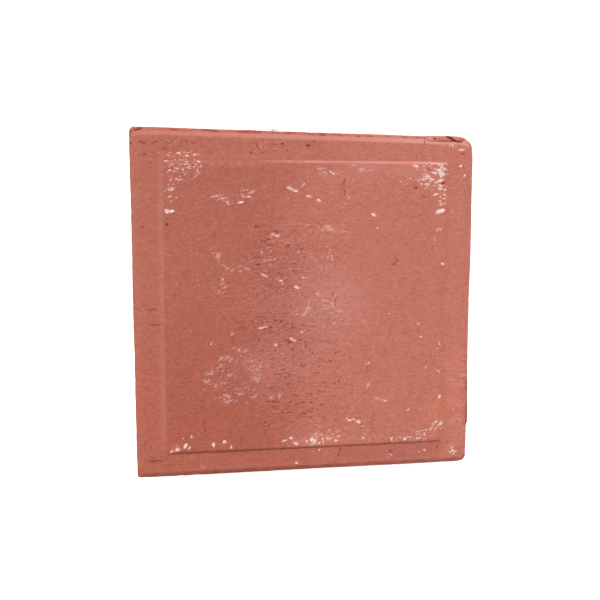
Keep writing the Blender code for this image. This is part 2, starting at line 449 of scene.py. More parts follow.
    def apply(self, lowest=None):
        """Moves the vertices and stores the wear values and painted light and shade."""
        moved = self.points + self.normals * self.height[:, None]
        moved[:, 2] += self.lift
        if lowest is not None:
            moved[:, 2] = np.maximum(moved[:, 2], lowest)
        mesh = self.piece.data
        mesh.vertices.foreach_set("co", (moved * MM).ravel())
        for name, values in self.wear_and_light.items():
            store_wear_and_light(self.piece, name, values)
        mesh.shade_smooth()
        mesh.set_sharp_from_angle(angle=SMOOTHED)
        mesh.update()


# ---------------------------------------------------------------- materials

RANGE_SOCKETS = ("From Min", "From Max", "To Min", "To Max")


def set_range(node, low, high, to_low, to_high):
    for socket, value in zip(RANGE_SOCKETS, (low, high, to_low, to_high)):
        node.inputs[socket].default_value = value


class Nodes:
    """Short names for the few node kinds that the materials use."""

    def __init__(self, name):
        self.material = bpy.data.materials.new(name)
        self.material.use_nodes = True
        self.tree = self.material.node_tree
        self.shader = self.tree.nodes["Principled BSDF"]
        self.coordinates = self.tree.nodes.new("ShaderNodeTexCoord").outputs["Object"]

    def link(self, source, socket):
        if isinstance(source, bpy.types.NodeSocket):
            self.tree.links.new(source, socket)
        elif isinstance(source, tuple):
            socket.default_value = (*source, 1.0)
        else:
            socket.default_value = source

    def noise(self, per_metre, detail=3.0, roughness=0.55, stretch=None):
        node = self.tree.nodes.new("ShaderNodeTexNoise")
        node.inputs["Scale"].default_value = per_metre
        node.inputs["Detail"].default_value = detail
        node.inputs["Roughness"].default_value = roughness
        source = self.coordinates
        if stretch:
            mapping = self.tree.nodes.new("ShaderNodeMapping")
            mapping.inputs["Scale"].default_value = stretch
            self.tree.links.new(source, mapping.inputs["Vector"])
            source = mapping.outputs["Vector"]
        self.tree.links.new(source, node.inputs["Vector"])
        return node.outputs["Fac"]

    def attribute(self, name):
        node = self.tree.nodes.new("ShaderNodeAttribute")
        node.attribute_name = name
        return node.outputs["Fac"]

    def axis(self, name):
        node = self.tree.nodes.new("ShaderNodeSeparateXYZ")
        self.tree.links.new(self.coordinates, node.inputs[0])
        return node.outputs[name]

    def ramp(self, source, low, high, to_low=0.0, to_high=1.0):
        node = self.tree.nodes.new("ShaderNodeMapRange")
        node.interpolation_type = "SMOOTHSTEP"
        self.link(source, node.inputs["Value"])
        set_range(node, low, high, to_low, to_high)
        return node.outputs["Result"]

    def math(self, operation, first, second):
        node = self.tree.nodes.new("ShaderNodeMath")
        node.operation = operation
        self.link(first, node.inputs[0])
        self.link(second, node.inputs[1])
        return node.outputs[0]

    def times(self, first, second):
        return self.math("MULTIPLY", first, second)

    def mix(self, factor, first, second, blend="MIX"):
        node = self.tree.nodes.new("ShaderNodeMix")
        node.data_type = "RGBA"
        node.blend_type = blend
        self.link(factor, node.inputs[0])
        self.link(first, node.inputs[6])
        self.link(second, node.inputs[7])
        return node.outputs[2]

    def bump(self, height, strength, distance, below=None):
        node = self.tree.nodes.new("ShaderNodeBump")
        node.inputs["Strength"].default_value = strength
        node.inputs["Distance"].default_value = distance
        self.link(height, node.inputs["Height"])
        if below is not None:
            self.tree.links.new(below, node.inputs["Normal"])
        return node.outputs["Normal"]


CREAM = (0.74, 0.595, 0.565)
STAINED_CREAM = (0.53, 0.33, 0.28)
PINK_SCUFF = (0.475, 0.265, 0.238)
PEACH_SCUFF = (0.570, 0.285, 0.240)
PINK_CLAY = (0.480, 0.195, 0.158)
WARM_CLAY = (0.580, 0.170, 0.102)
DEEP_CLAY = (0.205, 0.021, 0.014)
DARK_TINT = (0.905, 0.835, 0.815)
PALE_TINT = (1.055, 1.12, 1.14)
# Tones of each clay at the left, at the right and at the lower left: the brightening to the right is
# painted light and the darker lower left is painted shade.
PANEL_LIT_AND_SHADED_TONES = ((0.368, 0.108, 0.075), (0.437, 0.139, 0.099), (0.352, 0.091, 0.059))
BORDER_LIT_AND_SHADED_TONES = ((0.390, 0.119, 0.081), (0.450, 0.145, 0.104), (0.385, 0.106, 0.069))
BACK_LIT_AND_SHADED_TONES = ((0.36, 0.10, 0.07), (0.40, 0.12, 0.085), BORDER_LIT_AND_SHADED_TONES[2])


def clay_material(name, left, right, shaded_low_left, turn, slant=0.0, specks=1.0, bump=1.0):
    """Matte clay, painted lighter from left to right between the x values of turn as painted light, and
    darker towards shaded_low_left at the lower left as painted shade. Slant leans that turn, and the wear
    and painted light lie over it all."""
    nodes = Nodes(name)
    crumb = nodes.attribute("crumb")
    # Painted light: the tone brightens from left to right, and painted shade darkens it towards the lower
    # left.
    slanted = nodes.math("SUBTRACT", nodes.axis("X"), nodes.times(nodes.axis("Y"), slant))
    across = nodes.ramp(slanted, turn[0] * MM, turn[1] * MM)
    drift = nodes.math("ADD", across, nodes.ramp(nodes.noise(45, 4), 0.3, 0.7, -0.22, 0.22))
    share = nodes.ramp(drift, 0.0, 1.0)
    below = nodes.ramp(nodes.axis("Y"), 15 * MM, -35 * MM)
    low = nodes.times(below, nodes.math("SUBTRACT", 1.0, share))
    base = nodes.mix(low, nodes.mix(share, left, right), shaded_low_left)
    mottle = nodes.ramp(nodes.noise(330, 5, 0.6), 0.3, 0.7, 0.955, 1.04)
    stroke_noise = nodes.ramp(nodes.noise(1150, 5, 0.7, (0.7, 1.3, 1.0)), 0.3, 0.7)
    strokes = nodes.mix(stroke_noise, DARK_TINT, PALE_TINT)
    mottled = nodes.mix(1.0, nodes.mix(1.0, base, mottle, "MULTIPLY"), strokes, "MULTIPLY")
    # Painted highlights and rubbed patches mix towards PINK_CLAY.
    rubbed = nodes.mix(nodes.times(nodes.attribute("rub_and_highlight"), 0.9), mottled, PINK_CLAY)
    warm = nodes.ramp(nodes.noise(1100, 3, 0.6), 0.35, 0.62, 0.0, 0.6)
    warmed = nodes.mix(nodes.times(nodes.attribute("warm"), warm), rubbed, WARM_CLAY)

    # Specks lie everywhere, and thickest where the clay crumbled.
    pale_share = nodes.ramp(crumb, 0.0, 0.8, 0.38 * specks, 0.85)
    dark_share = nodes.ramp(crumb, 0.0, 0.8, 0.42 * specks, 0.56)
    pale_specks = nodes.ramp(nodes.noise(1500, 3, 0.6, (0.8, 1.3, 1.0)), 0.58, 0.7)
    dark_specks = nodes.ramp(nodes.noise(1450, 3, 0.6, (0.8, 1.25, 1.0)), 0.61, 0.72)
    scuff_colour = nodes.mix(nodes.ramp(low, 0.1, 0.6), PEACH_SCUFF, PINK_SCUFF)
    paled = nodes.mix(nodes.times(pale_specks, pale_share), warmed, scuff_colour)
    seams = nodes.math("ABSOLUTE", nodes.math("SUBTRACT", nodes.noise(520, 4, 0.6), 0.5), 0.0)
    broken = nodes.ramp(nodes.noise(800, 2), 0.46, 0.6)
    seam_lines = nodes.times(nodes.ramp(seams, 0.018, 0.003), broken)
    seam_lines = nodes.times(seam_lines, nodes.ramp(crumb, 0.05, 0.7, 0.0, 0.5))
    darks = nodes.math("MAXIMUM", nodes.times(dark_specks, dark_share), seam_lines)
    specked = nodes.mix(darks, paled, DEEP_CLAY)

    # Scuffs and painted highlights mix towards the scuff colour.
    fray = nodes.ramp(nodes.noise(2400, 3), 0.3, 0.7, -0.35, 0.35)
    scuff_and_highlight = nodes.ramp(nodes.math("ADD", nodes.attribute("scuff_and_highlight"), fray), 0.15, 1.15, 0.0, 0.9)
    scuffed = nodes.mix(scuff_and_highlight, specked, scuff_colour)
    # Painted shade, and the dark joints between crumbs, mix towards DEEP_CLAY.
    shade_and_darkening = nodes.ramp(nodes.attribute("shade_and_darkening"), 0.05, 0.95, 0.0, 0.85)
    sunk = nodes.mix(shade_and_darkening, scuffed, DEEP_CLAY)
    chalk = nodes.mix(nodes.ramp(nodes.noise(1900, 3), 0.36, 0.54), STAINED_CREAM, CREAM)
    flecked = nodes.ramp(nodes.noise(3000, 2), 0.35, 0.65, 0.45, 1.55)
    pale = nodes.ramp(nodes.times(nodes.attribute("pale"), flecked), 0.36, 0.78)
    nodes.link(nodes.mix(pale, sunk, chalk), nodes.shader.inputs["Base Color"])
    rough = nodes.ramp(nodes.noise(700, 3), 0.3, 0.7, 0.72, 0.92)
    rough = nodes.math("MAXIMUM", rough, nodes.times(pale, 0.92))
    nodes.link(rough, nodes.shader.inputs["Roughness"])
    nodes.shader.inputs["Specular IOR Level"].default_value = 0.15
    fine = nodes.bump(nodes.noise(5200, 3), 0.35 * bump, 0.00012)
    gritty = nodes.bump(nodes.noise(1500, 4, 0.6), 0.5 * bump, 0.00025, fine)
    crumb_noise = nodes.noise(1150, 4, 0.65, (0.8, 1.3, 1.0))
    crumbs = nodes.times(crumb_noise, nodes.ramp(crumb, 0.0, 0.8))
    nodes.link(nodes.bump(crumbs, 0.75, 0.0005, gritty), nodes.shader.inputs["Normal"])
    return nodes.material


def residue_material(name, cleanest, most_stained):
    """Dried residue: chalky cream, stained by the clay under it."""
    nodes = Nodes(name)
    stain = nodes.ramp(nodes.noise(1400, 4), cleanest, most_stained)
    nodes.link(nodes.mix(stain, CREAM, STAINED_CREAM), nodes.shader.inputs["Base Color"])
    nodes.link(nodes.ramp(nodes.noise(900, 2), 0.3, 0.7, 0.85, 0.98), nodes.shader.inputs["Roughness"])
    nodes.shader.inputs["Specular IOR Level"].default_value = 0.2
    nodes.link(nodes.bump(nodes.noise(3800, 4), 0.6, 0.0001), nodes.shader.inputs["Normal"])
    return nodes.material


def floor_material():
    """Plain pale floor, lit a little from within as a light table is, so that shadows stay faint."""
    nodes = Nodes("pale_floor")
    nodes.shader.inputs["Base Color"].default_value = (0.9, 0.9, 0.9, 1)
    nodes.shader.inputs["Roughness"].default_value = 0.9
    nodes.shader.inputs["Specular IOR Level"].default_value = 0.0
    nodes.shader.inputs["Emission Color"].default_value = (1, 1, 1, 1)
    nodes.shader.inputs["Emission Strength"].default_value = 0.55
    return nodes.material


# ---------------------------------------------------------------- the pieces


def finish_piece(piece, material, node):
    piece.data.materials.append(material)
    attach(piece, "root")
    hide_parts(node)
    return piece


def pluck_middle(skin):
    """The panel's crumbly middle, where thin skins of clay were pulled off."""
    skin.crumble(-4, 13, 24, 16, 0.06, 0.9, 61, (2.6, 1.0, 1.0))
    skin.crumble(-4, -6, 26, 20, 0.055, 1.0, 67, (1.7, 1.0, 1.0))
    skin.crumble(-19, -19, 18, 15, 0.03, 0.5, 71)
    skin.crumble(-1, -27, 24, 20, 0.045, 0.85, 73, (3.2, 0.8, 0.8))
    skin.crumble(20, -14, 26, 30, 0.02, 0.25, 79, (0.8, 2.6, 0.8))
    skin.crumble(8, 32, 30, 14, 0.02, 0.3, 83, (2.6, 0.9, 0.9))

    # Scars, ledges and cracks. A ledge at a turn near 0 faces down the panel, one near 180 faces up.
    for x, y, length, width, turn, depth in (
        (-10.5, 19.6, 5.4, 2.2, -8, 0.22), (-13.4, 17.8, 3.6, 1.4, -20, 0.16),
        (-10.8, 16.8, 3, 1.3, 12, 0.14), (-3, 15.6, 1.8, 1.2, 30, 0.14), (-12.6, 5, 3.4, 1.5, 12, 0.12),
        (-8.8, 8.8, 2.4, 1, 0, 0.12), (-9.6, -5.4, 3.2, 1.8, 55, 0.14), (-12, -8.2, 3, 1.4, 10, 0.12),
        (10, 34, 1.2, 3.6, 12, 0.14), (25.2, 12.4, 2.6, 1.3, 45, 0.14),
    ):
        skin.scar(x, y, length, width, turn, depth)
    for x, y, length, turn, drop in (
        (-10.6, 12.8, 9, 14, 0.16), (-6.5, 17.4, 5, -22, 0.20), (-3.6, 12, 5.6, -8, 0.16),
        (-5, 22.8, 9, 4, 0.10), (6.5, 21.6, 8, 176, 0.10), (-1, -5.8, 7, -6, 0.10), (7.5, 10, 6, 95, 0.10),
        (-9, -14.6, 5, 5, 0.10),
    ):
        skin.ledge(x, y, length, turn, drop)
    for x, y, length, turn, depth in (
        (-9.2, -20.2, 2.2, 10, 0.42), (-2.7, -10.2, 2.4, 18, 0.42), (-5.9, -10.9, 1.2, -40, 0.4),
        (-6.8, -10.3, 1.6, 0, 0.24), (-9.6, 21.1, 1.8, -14, 0.30), (-12, 18.6, 1.6, 20, 0.26),
        (-6.1, 17.2, 1.6, -24, 0.18), (-2.3, 16.2, 1, 0, 0.30), (-4.2, 12.1, 2.2, -8, 0.16),
        (-8.7, 9.3, 1.2, -6, 0.24), (-14.6, 11.8, 1.6, 10, 0.2), (-1.9, -17.9, 1.8, 0, 0.28),
        (-7.1, -21.1, 1, 0, 0.26), (-6.3, -23.1, 2, -4, 0.24), (-3.8, -26.7, 1.8, -8, 0.22),
        (-5.9, -28.6, 1.6, 20, 0.24), (-1.8, -28.5, 1.4, 0, 0.26), (0.8, -28.9, 1.8, 10, 0.22),
        (-6, -31.6, 1.8, 4, 0.24), (-1.6, -31.9, 2.4, -4, 0.24), (-13.4, -34.3, 1.8, 0, 0.30),
        (10.2, 35.4, 2.4, 78, 0.20), (10.3, 32.4, 1.6, 100, 0.24), (39.6, 35.5, 3, 18, 0.5),
        (35.7, 39.5, 2.6, -32, 0.42), (25.7, 12.3, 2, 48, 0.26), (34, 31.6, 1.4, -25, 0.2),
        (17.2, -18.9, 2.6, 75, 0.14), (-31, -28.6, 4, 88, 0.14), (-30.3, -34.6, 4.4, 92, 0.2),
        (-20, -39.4, 3.4, 90, 0.16), (15.7, -36.4, 5, 90, 0.16), (19.1, -36, 7.6, 90, 0.12),
    ):
        skin.crack(x, y, length, turn, depth=depth)
    skin.cracks((-13, -39), (9, -15), 70, 1.6, 0, 9, 0.17)
    skin.cracks((-16, -14), (8, 8), 40, 1.4, 0, 25, 0.12)
    skin.cracks((-16, -24), (9, 7), 80, 1.3, 70, 45, 0.17, 0.12)
    skin.cracks((-24, -10), (-8, 8), 24, 1.2, 60, 50, 0.13, 0.11)
    skin.cracks((-20, 8), (12, 26), 36, 1.6, -4, 16, 0.12)
    skin.cracks((2, -38), (38, 10), 60, 1.8, 90, 12, 0.09)
    skin.cracks((-39, -36), (-14, 36), 30, 1.0, 0, 50, 0.10)
    for x, y, size, depth in (
        (-39.9, 22.8, 0.9, 0.34), (31.7, 34.1, 0.9, 0.38), (-8.1, -4.7, 0.9, 0.38), (-5.6, -10.7, 0.7, 0.3),
        (-15.2, 22.4, 0.8, 0.3), (-20.5, 22.6, 0.5, 0.24), (-9.9, -12.9, 0.6, 0.25), (5.7, -4.4, 0.5, 0.2),
        (12, -10.8, 0.5, 0.2),
    ):
        skin.pit(x, y, size * 1.3, size, -30, depth)
    skin.pores(320, 0.32, 0.13, where=skin.top > 0.9)


def tint_panel(skin):
    """Broad tones: a pinker middle, and warm stains round the residue."""
    skin.glow("rub_and_highlight", 6, 0, 34, 38, 0, 0.55)
    skin.glow("rub_and_highlight", -9, -16, 34, 26, 20, 0.34)
    skin.glow("rub_and_highlight", -12, 1, 24, 20, 0, 0.18)
    # Along the top the clay is painted paler towards the right, a painted highlight.
    skin.glow("rub_and_highlight", 12, 37, 30, 8, 0, 0.25)
    skin.glow("rub_and_highlight", 30, 39.0, 30, 6, 0, 0.5)
    skin.glow("rub_and_highlight", 17, 40.0, 22, 6, 0, 0.5)
    for x, y, length, width, turn, strength in (
        (33, 40.6, 22, 3, -1, 1), (37.4, 36.4, 11, 11, 0, 1), (40, 31, 5, 9, 0, 1), (4, -40, 22, 5, 2, 1),
        (-38.4, -40.8, 7, 4, 0, 0.8), (-27, -40.2, 9, 3, 0, 0.5), (30, -40.8, 20, 2.6, 0, 0.5),
        (38.5, -34, 9, 22, -10, 0.8), (-9.5, 19, 8, 4, -10, 0.5), (-3.5, -10, 6, 3, 10, 0.6),
        (-38.5, 34, 5, 12, 0, 0.35),
    ):
        skin.glow("warm", x, y, length, width, turn, strength)


def strew_residue(skin):
    """Pale residue in the corners and along the edges, and pinkish scuffs."""
    # Upper left corner. A row of dust is x, y, length, width, turn, share, size and strength.
    for row in (
        (-35.4, 40.2, 15, 3, 0, 0.5, (0.7, 0.32), 0.8), (-38.4, 38, 6, 3.4, 8, 0.55, (0.7, 0.34), 0.9),
        (-33, 38.4, 9, 2.4, 4, 0.4, (0.7, 0.32), 0.75), (-36, 35.2, 9, 2, 12, 0.5, (0.8, 0.34), 0.9),
        (-38.8, 32.6, 3.4, 2.2, 14, 0.5, (0.7, 0.36), 0.9), (-38.8, 29.8, 4.4, 2, 8, 0.4, (0.7, 0.34), 0.8),
    ):
        skin.dust(*row, soft=0.35)
    skin.dust(-32.0, 37.4, 14, 9, 12, 0.14, (0.55, 0.34), 0.6)
    skin.fleck(-39.7, 26.4, 1.3, 1.3, 0, 0.95)
    # Streaks that climb from it to the middle.
    skin.dust(-26.0, 30.2, 28, 3.0, 11, 0.3, (1.4, 0.45), 0.8, "scuff_and_highlight", 0.4)
    skin.dust(-18.0, 31.4, 12, 3.4, 8, 0.4, (1.0, 0.45), 1.0, "scuff_and_highlight", 0.4)
    skin.dust(-24.0, 30.8, 24, 3.0, 11, 0.14, (0.7, 0.35), 0.55)
    skin.dust(-31.0, 27.0, 16, 3.6, 14, 0.16, (1.4, 0.4), 0.6, "scuff_and_highlight", 0.4)
    # Upper right corner, the brightest patch.
    for row in (
        (36.5, 40.8, 14, 2.2, -3, 0.36, (1.3, 0.34), 1), (38.8, 38.8, 7, 3.6, -4, 0.42, (1.5, 0.36), 1),
        (35.6, 37, 9, 3.6, 8, 0.34, (1.3, 0.34), 0.9), (39.8, 32.8, 4, 6.5, 0, 0.42, (1.2, 0.36), 1),
    ):
        skin.dust(*row, soft=0.3)
    skin.dust(33.0, 37.0, 15, 10, 8, 0.14, (1.1, 0.34), 0.7)
    skin.dust(37.0, 37.6, 11, 9, 4, 0.42, (1.4, 0.5), 0.9, "scuff_and_highlight", 0.4)
    skin.dust(40.2, 21.8, 3.4, 1.8, 7, 0.5, (1.0, 0.5), 1.0)
    skin.dust(37.4, 19.2, 1.6, 4.4, -18, 0.4, (0.6, 0.7), 0.7)
    for x, y, length, width, turn in (
        (31.5, 40.4, 1.8, 0.8, -12), (40.2, 39.8, 2.6, 0.9, -8), (39, 40.9, 2, 0.5, 0),
        (37, 38.6, 1.7, 0.8, -16), (39.4, 38, 2, 0.7, 4), (35.3, 37.5, 1.3, 0.5, 0),
        (36.4, 36.7, 2, 0.7, -10), (39, 36.4, 2.4, 0.9, 14), (34.8, 35.3, 1.7, 0.4, 0),
        (33, 35.3, 1.2, 0.4, 0), (38.8, 34.3, 1.5, 0.4, -6), (40.6, 33.7, 1.6, 0.6, 6),
        (37.6, 32.3, 2, 0.6, 14), (40.6, 32.3, 1.5, 0.6, -6), (40.5, 31.1, 1.3, 0.6, 0),
    ):
        skin.fleck(x, y, length, width, turn, 1.0)
    # Lower edge and its corners.
    skin.dust(3.5, -38.0, 13, 5.0, 10, 0.45, (1.0, 0.5), 0.7, "scuff_and_highlight", 0.4)
    for row in (
        (-38.8, -41.2, 5, 2.4, 30, 0.24, (0.6, 0.45), 0.75),
        (-35.2, -39.4, 5.4, 4.4, 60, 0.11, (0.5, 0.45), 0.65),
        (1.5, -40.4, 20, 3.2, 1, 0.2, (0.6, 0.4), 0.8), (4.5, -38.6, 14, 4.4, 6, 0.14, (0.6, 0.38), 0.7),
        (16, -40.4, 7, 3, 0, 0.28, (0.45, 0.7), 0.7), (28.4, -40.8, 15, 1.8, 0, 0.34, (0.45, 0.8), 0.75),
        (37.6, -38.6, 10, 4.4, 50, 0.24, (1, 0.35), 0.7), (40.6, -36.6, 5, 4, 50, 0.28, (1, 0.35), 0.8),
        (34, -39.2, 8, 3.4, 15, 0.24, (0.7, 0.4), 0.7), (13.6, -34.9, 8, 2.6, -14, 0.36, (0.9, 0.5), 0.75),
        (22, -38, 38, 8, 0, 0.08, (0.4, 0.8), 0.55), (39.6, -20, 5, 46, 0, 0.10, (0.6, 0.45), 0.6),
        (31, -32, 4, 2, -8, 0.35, (0.8, 0.4), 0.6),
    ):
        skin.dust(*row)
    # Clouded scuffs in the lower left.
    for x, y, length, width, turn in (
        (-21.2, -13.4, 6, 2.6, 14), (-25.4, -16.2, 5.4, 2.2, 40), (-28.8, -19.8, 4.4, 2, 60),
        (-15.6, -17, 5.4, 3.2, -20), (-26.4, -22.8, 3.6, 2, 15), (-22.6, -20.8, 4.6, 2, 8),
        (-15.2, -21.1, 3, 2.2, 0), (-18.6, -24.6, 5, 2.2, 25), (-22.8, -28.2, 3.4, 2.6, 40),
        (-16.6, -27.2, 4.6, 1.8, 15), (-12.2, -24.6, 2.4, 2.2, 0), (-10, -26.4, 3.4, 1.8, 20),
        (-33.4, -20.8, 2, 2.2, 0), (-30.6, -24.2, 2.2, 1.8, 40), (-24.8, -26.2, 4.6, 2.4, 10),
    ):
        skin.dust(x, y, length * 1.3, width * 1.4, turn, 0.6, (0.85, 0.6), 1.0, "scuff_and_highlight", 0.5)
    skin.dust(-21, -20, 26, 20, 30, 0.3, (0.8, 0.6), 0.6, "scuff_and_highlight", 0.6)
    # Scuffs in the middle and along the top.
    for x, y, length, width, turn in (
        (5, 22.4, 12, 2.2, -4), (6.2, 14.4, 5, 2.4, 108), (5.6, 11, 4, 3, 84), (3.5, 1, 7, 3.6, -20),
        (-1.5, -1.6, 5, 2.4, 20), (8.4, -1.6, 4, 3.4, 0), (-10.6, 13.2, 6.5, 0.8, 14),
        (-10, 20, 5.4, 2.2, -12), (-18.6, 10.8, 5.4, 1.8, -14), (3.2, 38.4, 5, 2.4, -10),
        (16.4, 39.2, 7.5, 2, -8), (8.5, 37.8, 5, 2, -25), (21, -28.4, 5, 2.4, -14),
        (18.2, -24.6, 6.5, 1.8, 98), (-24.8, 5, 4, 3, 20), (-22, 9.8, 6, 3, -20), (-26, 15, 5, 3, 30),
    ):
        skin.dust(x, y, length * 1.2, width * 1.25, turn, 0.6, (1.0, 0.6), 0.9, "scuff_and_highlight", 0.55)
    skin.dust(2, 4, 46, 60, 0, 0.13, (1.2, 0.7), 0.6, "scuff_and_highlight", 0.4)
    skin.dust(16, 30, 46, 24, 0, 0.08, (0.9, 0.6), 0.55, "scuff_and_highlight", 0.4)
    skin.dust(0, 0, 82, 82, 0, 0.035, (0.5, 0.4), 0.6, "scuff_and_highlight", 0.3)
    # Single chips, from the top down.
    for x, y, length, width, turn, strength in (
        (-5, 33.1, 3.8, 0.9, -20, 0.7), (-1.6, 34.4, 1.4, 0.6, 45, 0.7), (6.6, 37.9, 2.4, 0.7, -28, 0.75),
        (-23, 28.9, 1.7, 0.8, -48, 0.7), (-19.3, 29.2, 2.1, 0.8, 18, 0.75),
        (-17.1, 30.7, 1.6, 0.8, 10, 0.65), (-0.1, 31.1, 1.6, 0.8, -12, 0.85),
        (2.8, 30.1, 1.8, 0.8, -18, 0.85), (-6.1, 30.5, 1, 0.6, 15, 0.7), (11.6, 31, 0.9, 0.7, -30, 0.6),
        (18.8, 26.3, 1.8, 1.1, -10, 0.72), (20, 22.4, 0.9, 0.7, 0, 0.5), (-9.9, 20.1, 2.4, 0.9, -14, 0.52),
        (-13.7, 15.2, 1.3, 1, -50, 0.58), (-3.2, 15.4, 1.2, 0.7, 30, 0.65),
        (-12.8, 8.6, 2.6, 0.7, -20, 0.8), (-25.7, 12.5, 1.6, 0.5, 30, 0.6), (-1.6, 8, 1.3, 0.7, -20, 0.8),
        (-8.3, 7.1, 1.5, 0.8, 0, 0.65), (-3.7, 5.2, 1.9, 0.9, -28, 0.85), (40.2, 12, 1.4, 0.8, -8, 0.95),
        (-13.4, -6.3, 3.4, 0.8, 8, 0.68), (-9.7, -11.5, 1.2, 0.9, 40, 0.75), (-2, -7.8, 0.9, 0.8, 0, 0.65),
        (-22.1, -8.1, 1.1, 0.9, 20, 0.5), (-28, -10.6, 2.4, 0.6, 45, 0.46), (7.3, -5.4, 1.2, 0.7, 20, 0.65),
        (24, -2.8, 0.9, 0.8, 60, 0.55), (33, -5.9, 1.1, 0.7, -15, 0.65), (33.7, -9.8, 1.1, 0.7, 0, 0.7),
        (39.8, -12.4, 1.7, 0.5, -60, 0.7), (35.5, -19.3, 1, 0.6, -40, 0.6),
        (39.3, -20.4, 0.9, 0.7, -20, 0.7), (40, -28.4, 0.8, 1.3, 0, 0.9), (17.6, -17.5, 1.1, 0.8, 0, 0.6),
        (23, -29, 2, 0.8, -16, 0.6), (12.2, -34.5, 2, 0.9, -18, 0.65), (14.8, -35.1, 1.3, 1.5, 0, 0.75),
        (-36.4, -37.8, 0.5, 0.9, 0, 0.7), (-27.9, -40.1, 0.9, 1.5, 10, 1), (-24.8, -39.3, 1.3, 1, -30, 1),
        (-22.8, -41, 0.7, 1.3, 10, 0.8), (-5.3, -39.2, 1.2, 0.9, -20, 1), (-7.5, -39.9, 2, 0.6, 20, 0.85),
        (-3.8, -41, 1.6, 0.9, -20, 0.9), (1.5, -40.6, 1.3, 0.8, 20, 0.95), (3, -41, 1.4, 0.6, 28, 0.9),
        (2, -38.3, 1, 0.6, 0, 0.8), (4, -39.7, 1.1, 0.7, -20, 0.85), (6.3, -39.8, 1.2, 0.7, 20, 0.8),
        (8, -40.5, 1.3, 0.8, 10, 0.85), (8.7, -39.2, 0.9, 0.6, 30, 0.75), (-34, -37.4, 0.4, 1, 10, 0.85),
        (-34.8, -40.8, 1, 0.6, 60, 0.9), (-38.1, -41.2, 1.1, 0.9, 10, 0.95),
        (-39.8, -41.8, 1.2, 0.7, 30, 0.9), (39, -36, 1.2, 0.6, 50, 0.8), (41, -36.8, 1.6, 0.6, 50, 0.85),
        (37.4, -38.1, 1.3, 0.5, 40, 0.7), (34.4, -38.5, 1.1, 0.5, 10, 0.7), (35.4, -39.9, 0.7, 0.9, 0, 0.8),
        (-31.6, 7.4, 1.6, 0.5, 0, 0.6), (-24.7, 7.5, 0.6, 1.2, -20, 0.6),
    ):
        skin.fleck(x, y, length, width, turn, strength)


def make_panel(material):
    """The raised centre sheet, from its sloped sides up."""
    stations = [
        panel_station(-0.95, PANEL_Z),
        panel_station(-0.7, PANEL_Z - 0.08),
        panel_station(-0.1, PANEL_Z - 0.75),
        panel_station(0, PANEL_Z - STEP),
        panel_station(0, PANEL_LOW[2]),
    ]
    points, faces = faced_body(stations, PANEL_CELLS, CELL)
    panel = new_mesh("pressed_panel", out_of_square(points), faces)
    skin = Skin(panel, seed=11)
    skin.grain(swell=0.08, lumps=0.02, fine=0.014, seed=40)
    pluck_middle(skin)
    tint_panel(skin)
    strew_residue(skin)

    # The step: a painted highlight along the top, a painted shadow at the foot, melting into the border at
    # the sides.
    x, _, z = skin.points.T
    _, _, upper, lower = inside_panel(skin.points)
    skin.lift = -melt(skin.points, 2.6) * np.clip(z - MELTED_Z, 0, None)
    ragged_edge = smoothstep(-0.5, 0.3, fractal(skin.points, (3.0, 3.0, 3.0), 2, 90))
    lit_upper_slope = smoothstep(1.15, 0.7, upper) * smoothstep(-16, 2, x)
    skin.mark("rub_and_highlight", EVERYWHERE, lit_upper_slope * (0.65 + 0.35 * ragged_edge))
    skin.mark("scuff_and_highlight", EVERYWHERE, 0.7 * lit_upper_slope * ragged_edge * smoothstep(5, 35, x))
    shadowed_foot = smoothstep(0.45, 0.15, lower) * smoothstep(PANEL_Z - 0.2, BORDER_Z + 0.2, z)
    skin.mark("shade_and_darkening", EVERYWHERE, 0.6 * shadowed_foot * (0.4 + 0.6 * ragged_edge))
    skin.apply()
    return finish_piece(panel, material, "raised_panel")


